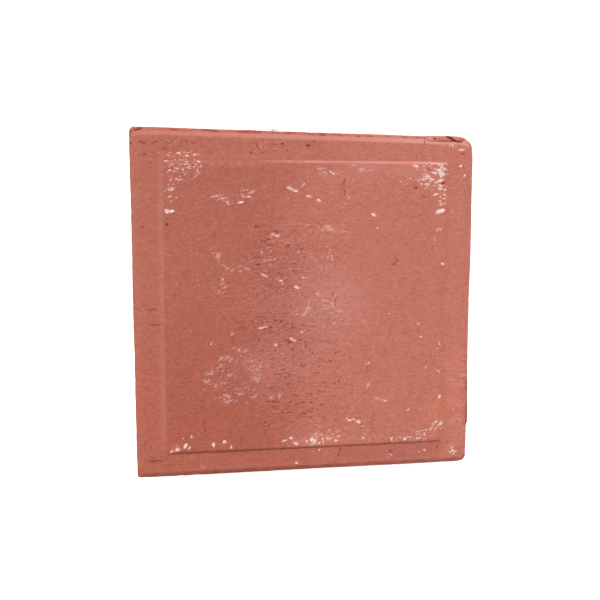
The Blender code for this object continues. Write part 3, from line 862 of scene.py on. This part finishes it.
def wear_border(skin):
    """Cracks, pits and pale chips on the border."""
    for x, y, length, turn, depth in (
        (-42.9, 45, 2.4, 27, 0.34), (-46.4, 45.2, 0.9, 10, 0.34), (-44.9, 45.4, 0.8, -30, 0.34),
        (-38.2, 45.6, 1, 35, 0.3), (-35.4, 45.4, 1.2, 60, 0.26), (-34.2, 45.8, 1, -60, 0.26),
        (-32.4, 45.4, 1.1, -20, 0.24), (-42.6, 42.4, 0.8, 80, 0.24), (-45.5, 45, 1.2, 0, 0.28),
        (-37.4, 46.1, 1.2, 35, 0.2), (-35.8, 44.2, 1.4, -10, 0.16), (-45.6, 42, 1.3, 10, 0.28),
        (-46.1, 22.1, 1.6, 12, 0.34), (-44.4, -1, 2.6, 0, 0.26), (-43.4, -5.2, 4, 0, 0.28),
        (-42.4, -8.1, 1.4, -30, 0.24), (-45.2, -12.6, 1.8, -40, 0.18), (-44.2, -17, 2, -60, 0.16),
        (-44.4, -44.6, 5, -6, 0.28), (-47.3, -40.4, 3.6, 90, 0.2), (-45.5, -40.8, 3.2, 90, 0.18),
        (-14.6, 45, 3, -60, 0.22), (-12.6, 43.4, 2.4, 35, 0.18), (-9.8, 45.6, 2, 12, 0.2),
        (9.3, -44.6, 3.2, 80, 0.5), (17.2, -46.5, 1.6, 80, 0.2), (29.2, -45.8, 2.6, 84, 0.2),
        (40, -44.5, 1.5, 90, 0.4), (-47.6, 48.6, 3.6, 26, 0.5), (25, -45, 1.6, 84, 0.3),
        (33.6, -44.2, 1.6, 60, 0.18), (43.9, -42.9, 4.4, 2, 0.14), (34.4, 47.6, 3, 90, 0.36),
        (1.8, 46.7, 1.2, 20, 0.26), (46.4, 44.4, 2, -20, 0.25),
    ):
        skin.crack(x, y, length, turn, depth=0.8 * depth)
    skin.cracks((-48, 42.5), (46, 47), 40, 1.4, 0, 45, 0.11)
    skin.cracks((-47, -47), (46, -43.5), 26, 1.2, 40, 50, 0.10)
    skin.cracks((-48, -40), (-42, 40), 22, 1.2, 0, 30, 0.10)
    skin.ledge(-13.2, 44.4, 4.6, 40, 0.14, 1.4)
    skin.ledge(-38.5, 45.4, 4.0, 10, 0.10, 1.2)
    for x, y, size, depth in (
        (-0.2, 45.5, 0.9, 0.34), (-7.6, 45.8, 0.7, 0.3), (-16.4, 43.1, 0.7, 0.25), (-40, 43.5, 0.6, 0.22),
        (-44.1, 39.6, 0.7, 0.22), (-49.6, 1, 0.9, 0.35), (-49.6, 45, 0.9, 0.35),
    ):
        skin.pit(x, y, size * 1.4, size, 10, depth)
    # Fine streaks across the lower right border, and a few along its outer edge.
    for _ in range(46):
        x, y = skin.random.uniform((42.4, -45), (48.2, -14))
        length, strength = skin.random.uniform((1.0, 0.35), (4.4, 0.85))
        skin.fleck(x, y, length, 0.28, skin.random.normal(1, 3), strength, "scuff_and_highlight")
    for _ in range(9):
        x, y = skin.random.uniform((45.6, -46), (48.4, -34))
        skin.fleck(x, y, 0.34, skin.random.uniform(1.6, 5.0), 0, 0.6, "scuff_and_highlight")
    skin.glow("warm", 44.2, -45.0, 8, 7, 0, 1.0)
    skin.glow("warm", 45.0, -28.0, 11, 40, 0, 0.6)
    skin.glow("warm", 42, 46.6, 12, 3, -8, 0.8)
    skin.dust(-35.5, 42.0, 13, 2.2, 0, 0.34, (0.7, 0.34), 0.8, soft=0.3)
    for row in (
        (44.6, -45.4, 3.4, 4.2, 60, 0.2, (0.7, 0.5), 0.9), (34, -45.3, 5, 1.4, 8, 0.4, (1, 0.4), 0.8),
        (3, -43.4, 3.6, 1.2, 6, 0.5, (0.9, 0.5), 0.85), (25.2, -46.6, 2.6, 1.4, 15, 0.5, (0.8, 0.5), 0.7),
    ):
        skin.dust(*row)
    skin.dust(-31.2, -46.4, 1.2, 4.0, 0, 0.5, (0.6, 1.0), 0.8, "scuff_and_highlight", 0.4)
    for x, y, length, width, turn, strength in (
        (-3.8, -47.2, 0.9, 0.7, 30, 1), (44.8, -44.4, 0.5, 0.9, 0, 0.9), (45, -45.5, 0.8, 0.6, 0, 1),
        (45.9, -46, 1, 0.5, 10, 1), (45.2, -46.8, 1.1, 0.5, 30, 1), (42.2, 46.9, 0.4, 1.2, -10, 0.8),
        (45.9, 38.9, 0.5, 0.4, 0, 0.7), (45.7, 40.9, 1, 0.9, 0, 1), (46.1, 39.6, 0.7, 0.4, 0, 0.6),
        (46.9, 38.1, 1.1, 0.6, 50, 0.95), (43, 46.7, 0.6, 1.3, 10, 0.8), (45.8, 45.7, 1.8, 0.6, 4, 0.85),
        (43.6, 27.6, 0.9, 0.5, 20, 0.5), (42.8, 26.6, 0.5, 0.5, 0, 0.5),
    ):
        skin.fleck(x, y, length, width, turn, strength)


def make_front(material):
    """The front layer: plain border, bevel, crumbly shoulder and side wall."""
    stations = [
        panel_station(-1.0, BORDER_Z - STEP),
        panel_station(-0.6, BORDER_Z - 0.05),
        panel_station(-0.3, BORDER_Z),
        slab_station(SHOULDER_WIDTH + BEVEL_WIDTH + 0.25, BORDER_Z),
        slab_station(SHOULDER_WIDTH + BEVEL_WIDTH - 0.25, BORDER_Z - 0.08),
        slab_station(SHOULDER_WIDTH + 0.1, BORDER_Z - BEVEL_DROP + 0.08),
        slab_station(SHOULDER_WIDTH * 0.7, BORDER_Z - BEVEL_DROP - 0.25),
        slab_station(SHOULDER_WIDTH * 0.15, WIDEST_Z + 0.35),
        slab_station(0.0, WIDEST_Z - 0.4),
        slab_station(0.1, FRONT_LOW[2] + 0.3),
        slab_station(0.35, FRONT_LOW[2]),
        slab_station(0.8, FRONT_LOW[2] - 0.1),
    ]
    points, faces = ring_body(stations, round(SIDE / CELL), CELL)
    front = new_mesh("bevelled_border", out_of_square(points), faces)
    skin = Skin(front, seed=23)
    skin.grain(swell=0.10, lumps=0.02, fine=0.014, seed=140)
    x, y, z = skin.points.T
    across = np.clip((x + HALF) / SIDE, 0, 1)
    outline = np.maximum(np.abs(x), np.abs(y))
    upper, lower = y > HALF - 3.2, y < 3.2 - HALF
    rim = np.where(upper, 0.55, np.where(lower, 1.0, 0.15))
    outer = smoothstep(HALF - SHOULDER_WIDTH - rim, HALF - SHOULDER_WIDTH - rim + 0.35, outline)
    bevel = smoothstep(HALF - 3.0, HALF - 2.6, outline) * (1 - outer)

    # The shoulder is torn, pitted and darker, most of all at the upper edge; along the lower and left edges
    # its darkening is painted shade. The upper bevel is painted pale as a painted highlight, brighter
    # towards the right.
    torn = fractal(skin.points, (1.8, 1.4, 0.9), 3, 150)
    stained = outer * smoothstep(WIDEST_Z - 1.4, WIDEST_Z - 0.2, z)
    skin.height -= 0.10 * outer * np.clip(torn, 0, 1)
    share = np.where(upper, 1, 0.3)
    skin.mark("shade_and_darkening", EVERYWHERE, stained * (0.3 + 0.42 * smoothstep(0.0, 0.7, torn)) * share)
    skin.mark("rub_and_highlight", EVERYWHERE, bevel * np.where(upper, 0.4 + 0.7 * across, 0))
    skin.mark("scuff_and_highlight", EVERYWHERE, 0.6 * bevel * upper * smoothstep(8, 34, x))
    skin.mark("shade_and_darkening", EVERYWHERE, stained * np.where(lower, 0.36 + 0.2 * smoothstep(-0.2, 0.6, torn), 0))
    skin.mark("shade_and_darkening", EVERYWHERE, 0.36 * stained * smoothstep(0.8 - HALF, 0.5 - HALF, x))
    # Painted shade darkens the lower border right of its middle.
    shade = smoothstep(HALF - 7.5, HALF - 6.8, -y) * smoothstep(2, 9, x)
    shade *= smoothstep(HALF - 6, HALF - 11, x)
    skin.mark("shade_and_darkening", EVERYWHERE, 0.32 * shade)
    skin.pores(110, 0.45, 0.18, where=(outer > 0.5) & upper)
    skin.pores(60, 0.5, 0.14, where=outer > 0.5)
    skin.pores(190, 0.3, 0.12, where=skin.top > 0.9)
    skin.pores(110, 0.6, 0.16, where=(z < WIDEST_Z) & (z > FRONT_LOW[2] + 0.4))

    # The border rises to meet the panel at the sides. Below the panel its bevel is narrower.
    left, right, above, below = inside_panel(skin.points)
    outside = -np.minimum.reduce([left, right, above, below])
    skin.lift += (MELTED_Z - BORDER_Z) * melt(skin.points, 1.9) * smoothstep(-0.9, -0.3, outside)
    inset = HALF + y
    narrowed = np.clip((2.8 - inset) / 1.8, 0, 1) - np.clip((2.1 - inset) / 1.1, 0, 1)
    skin.lift += BEVEL_DROP * narrowed * smoothstep(HALF - 1.5, HALF - 4, np.abs(x)) * (z > WIDEST_Z)
    drooping = smoothstep(HALF - 1.0, HALF - 3.5, np.abs(x)) * (z > WIDEST_Z + 0.5)
    skin.lift -= 0.06 * np.clip(-y - 42.6, 0, 4) * drooping
    # A painted shadow lies along the foot of the panel's lower edge.
    lower_step_shadow = smoothstep(0.4, 0.1, np.abs(y - PANEL_BOTTOM + 0.1)) * skin.top
    lower_step_shadow *= (x > PANEL_LEFT) * (x < PANEL_RIGHT)
    skin.mark("shade_and_darkening", EVERYWHERE, 0.5 * lower_step_shadow * smoothstep(-1.2, 0.4, fractal(skin.points, 2.5, 2, 160)))
    # A painted highlight lies on the border beside the panel's left edge.
    beside = smoothstep(1.7, 1.2, -left) * smoothstep(-0.2, 0.1, -left) * (np.abs(y) < HALF - 9)
    skin.mark("rub_and_highlight", EVERYWHERE, 0.3 * beside * (0.7 + 0.3 * skin.ragged))
    # Painted shade lies along the foot of the panel's right edge, in its upper part.
    shaded_right_foot = smoothstep(0.4, 0.1, np.abs(right + 0.3)) * (y > 4) * (y < PANEL_TOP)
    skin.mark("shade_and_darkening", EVERYWHERE, 0.22 * shaded_right_foot)

    # The right edge swells a little. A torn lip grows out of its lower half and ends in a step, darkened
    # with painted shade.
    right_edge = smoothstep(HALF - 1.6, HALF - 1.0, x)
    ended = smoothstep(LIP_END, LIP_BOTTOM, y)
    lip = smoothstep(LIP_TOP, LIP_BOTTOM, y) * ended
    swell = 0.28 * smoothstep(0, 14, y) * smoothstep(HALF - 2, HALF - 7, y)
    skin.height += right_edge * (swell + 0.1 + 0.3 * lip)
    shaded_lip = smoothstep(LIP_TOP - 1, LIP_TOP - 7, y) * ended * smoothstep(HALF - 1.4, HALF - 1.1, x)
    shaded_lip *= smoothstep(WIDEST_Z - 0.7, WIDEST_Z + 0.3, z + 0.7 * torn) * smoothstep(-0.9, 0.1, torn)
    skin.mark("shade_and_darkening", EVERYWHERE, 0.8 * shaded_lip)
    wear_border(skin)
    break_notch(skin)
    skin.apply()
    return finish_piece(front, material, "front_layer")


def break_notch(skin):
    """Sinks the notch that the corner fragment lies in, with walls that slope down to just under it."""
    x, y, z = skin.points.T
    wander = 0.12 * skin.ragged
    ends = np.minimum(x - FRAGMENT_LOW[0] + 0.1, FRAGMENT_HIGH[0] + 0.1 - x)
    inwards = np.minimum(ends, y - FRAGMENT_LOW[1] + 0.1) - wander
    inside = inwards > 0
    # The floor is at a fixed height. Near the walls it is no deeper than their slope reaches.
    sunk = np.minimum(FRAGMENT_LOW[2] + 0.9 - z - skin.height * skin.normals[:, 2], 0)
    skin.lift = np.where(inside, np.maximum(sunk, -0.3 - NOTCH_SLOPE * inwards), skin.lift)
    # The notch is darkened with painted shade.
    skin.mark("shade_and_darkening", inside, 0.25)
    # The border just inside the notch is painted pale as a painted highlight, raggedly.
    rim = smoothstep(0.6, 0.15, np.abs(y - FRAGMENT_LOW[1] + 0.55))
    skin.mark("rub_and_highlight", EVERYWHERE, 0.9 * (x > 36) * (x < 48) * rim)
    skin.mark("scuff_and_highlight", EVERYWHERE, 0.5 * (x > 35) * (x < 47) * rim * smoothstep(-0.6, 0.4, skin.ragged))


def make_back(material):
    """The back layer, with its flat underside as the fine face."""
    stations = [
        slab_station(1.3, 0),
        slab_station(0.75, 0.1),
        slab_station(0.3, 0.5),
        slab_station(0.15, 1.1),
        slab_station(0.0, BACK_HIGH[2] - 0.5),
        slab_station(0.25, BACK_HIGH[2]),
        slab_station(0.8, BACK_HIGH[2] + 0.12),
    ]
    back = new_mesh("back_slab", *faced_body(stations, round(SIDE / COARSE_CELL), COARSE_CELL))
    skin = Skin(back, seed=37)
    skin.grain(swell=0.14, lumps=0.035, fine=0.02, seed=240)
    under = skin.normals[:, 2] < -0.5
    skin.pores(160, 0.8, 0.2, where=under)
    skin.pores(150, 0.7, 0.2, where=~under)
    skin.apply(lowest=0.0)
    return finish_piece(back, material, "back_layer")


def lump(name, half, place, seed, rough=0.12, cells=20, power=0.62, shape=None):
    """A small broken body: a cube of cells a side, rounded, brought to half sizes in mm and roughened."""
    made = bpy.data.meshes.new(name)
    ball = bmesh.new()
    bmesh.ops.create_cube(ball, size=2.0)
    bmesh.ops.subdivide_edges(ball, edges=ball.edges[:], cuts=cells - 1, use_grid_fill=True)
    points = np.array([vertex.co for vertex in ball.verts])
    squared = points / (np.abs(points) ** (2 / power)).sum(axis=1, keepdims=True) ** (power / 2)
    frayed = squared * (1 + rough * fractal(squared * 2 + seed, 1.0, 3, seed))[:, None] * half
    if shape:
        frayed = shape(frayed)
    for vertex, point in zip(ball.verts, frayed):
        vertex.co = place @ Vector(point * MM)
    ball.to_mesh(made)
    ball.free()
    made.shade_smooth()
    return add_object(name, made)


def node_place(node, turn=0.0, tilt=0.0, lift=0.0):
    """Frame of a small piece: its CAD node's middle, tilted about X, turned about its normal and lifted."""
    low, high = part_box(node)
    return (
        Matrix.Translation((low + high) / 2)
        @ Matrix.Rotation(math.radians(tilt), 4, "X")
        @ Matrix.Rotation(math.radians(turn), 4, "Z")
        @ Matrix.Translation((0, 0, lift * MM))
    )


def fragment_hole(along, outward):
    """1 in the hole right of the fragment's middle, which slants from its outer edge to its inner one."""
    slant = np.abs(along - 2.2 + 1.1 * outward)
    return smoothstep(1.05, 0.35, slant) * smoothstep(1.0, 0.7, outward)


def shape_fragment(points):
    """Gives the fragment the slope of the bar's edge, a wavy top, a hole and a chamfered underside."""
    bent = points.copy()
    above, below = np.clip(points[:, 2], 0, None), np.clip(-points[:, 2], 0, None)
    fall = 0.7 * smoothstep(-0.3, 1.1, points[:, 1])
    ripple = 0.14 * fractal(points, (1.6, 1.2, 3.0), 2, 77) + 0.02
    hole = fragment_hole(points[:, 0], points[:, 1])
    bent[:, 2] -= above * np.minimum(fall + ripple + 0.75 * hole, 1.2)
    bent[:, 0] *= 1 - 0.12 * below
    bent[:, 1] += below / NOTCH_SLOPE * smoothstep(0.2, -0.6, points[:, 1])
    return bent


def make_fragment(material):
    half = (FRAGMENT_HIGH - FRAGMENT_LOW) / 2
    place = node_place("corner_fragment")
    fragment = lump("broken_fragment", half, place, 5, 0.03, 56, 0.25, shape_fragment)
    points = np.array([vertex.co for vertex in fragment.data.vertices]) / MM
    along, outward = (points[:, :2] - (FRAGMENT_LOW[:2] + FRAGMENT_HIGH[:2]) / 2).T
    left_spot = 0.9 * smoothstep(0.75, 0.3, np.hypot(along + 3.3, 1.2 * outward))
    right_spot = 0.6 * smoothstep(0.8, 0.3, np.hypot(0.6 * (along - 4.6), outward + 0.5))
    # The hole is darkened with painted shade; two spots and, lightly, the whole fragment are darkened too,
    # the left end is paler and the right end warmer.
    dark = np.maximum.reduce([fragment_hole(along, outward), left_spot, right_spot])
    shades = {
        "shade_and_darkening": np.maximum(dark, 0.14 + 0.12 * fractal(points, 0.8, 2, 91)),
        "rub_and_highlight": smoothstep(-2.6, -3.6, along),
        "warm": 0.8 * smoothstep(2.6, 3.6, along),
    }
    for name, values in shades.items():
        store_wear_and_light(fragment, name, values)
    return finish_piece(fragment, material, "corner_fragment")


def make_small_pieces(border, crust, residue):
    make_fragment(border)
    flake = lump("standing_flake", (1.05, 0.4, 0.2), node_place("lifted_flake", -38, 24, 0.12), 9)
    finish_piece(flake, crust, "lifted_flake")
    crumb = lump("stuck_crumb", (1.05, 0.55, 0.35), node_place("edge_crumb", 0, -20, 0.45), 12)
    finish_piece(crumb, residue, "edge_crumb")
    for node, turn, size, seed in (
        ("residue_chip_upper_right", 22, (1.5, 0.6, 0.2), 15),
        ("residue_chip_upper_left", 14, (0.7, 0.4, 0.18), 18),
        ("residue_chip_lower_left", 60, (0.8, 0.42, 0.18), 21),
        ("residue_chip_lower_middle", -15, (0.65, 0.5, 0.2), 24),
    ):
        chip = lump(node.replace("residue_chip", "dried_chip"), size, node_place(node, turn), seed)
        finish_piece(chip, residue, node)


# ---------------------------------------------------------------- stage, light and camera


def make_stage():
    mesh = bpy.data.meshes.new("floor")
    reach, drop = 3.0, 0.02 * MM
    corners = [(x * reach, y * reach, -drop) for x, y in ((-1, -1), (1, -1), (1, 1), (-1, 1))]
    mesh.from_pydata(corners, [], [(0, 1, 2, 3)])
    mesh.materials.append(floor_material())
    add_object("floor", mesh)


def make_light():
    """A white room, brighter low down than overhead, and one soft key from beyond the bar's upper edge."""
    world = bpy.data.worlds.new("white_room")
    bpy.context.scene.world = world
    world.use_nodes = True
    tree = world.node_tree
    background = tree.nodes["Background"]
    background.inputs["Color"].default_value = (1, 1, 1, 1)
    height = tree.nodes.new("ShaderNodeSeparateXYZ")
    tree.links.new(tree.nodes.new("ShaderNodeTexCoord").outputs["Generated"], height.inputs[0])
    fade = tree.nodes.new("ShaderNodeMapRange")
    set_range(fade, 0.05, 0.6, 1.0, 0.62)
    tree.links.new(height.outputs["Z"], fade.inputs["Value"])
    tree.links.new(fade.outputs["Result"], background.inputs["Strength"])

    key = bpy.data.lights.new("key", "SUN")
    key.energy = 2.7
    key.angle = math.radians(14)
    shining = Vector((0.12, -0.72, -0.72))
    add_object("key", key).rotation_euler = shining.to_track_quat("-Z", "Y").to_euler()


def make_camera():
    """Almost straight down, from a little left of and above the middle, about 1.4 sides away."""
    place_in_sides = np.array([-0.189, 0.106, 1.375])
    turned = [math.radians(angle) for angle in (-3.826, -6.879, -0.085)]
    camera = bpy.data.cameras.new("camera")
    camera.lens = 28.2
    camera.sensor_width = 36.0
    camera.clip_start = 0.005
    camera.clip_end = 20.0
    made = add_object("camera", camera)
    made.location = Vector((place_in_sides * SIDE + (0, 0, WIDEST_Z)) * MM)
    made.rotation_euler = Euler(turned)
    bpy.context.scene.camera = made


def main():
    bpy.context.scene.view_settings.view_transform = "Standard"
    make_camera()
    make_light()
    make_stage()
    panel_clay = clay_material("panel_clay_fine", *PANEL_LIT_AND_SHADED_TONES, turn=(-24, 12), slant=0.18)
    border_clay = clay_material("border_clay_fine", *BORDER_LIT_AND_SHADED_TONES, turn=(-40, 40), specks=0.6)
    back_clay = clay_material("back_clay_fine", *BACK_LIT_AND_SHADED_TONES, turn=(-40, 40), specks=0.6, bump=1.5)
    residue = residue_material("residue_chalk", 0.4, 0.7)
    crust = residue_material("flake_crust", 0.3, 0.65)
    make_panel(panel_clay)
    make_front(border_clay)
    make_back(back_clay)
    make_small_pieces(border_clay, crust, residue)


main()
bpy.context.view_layer.update()
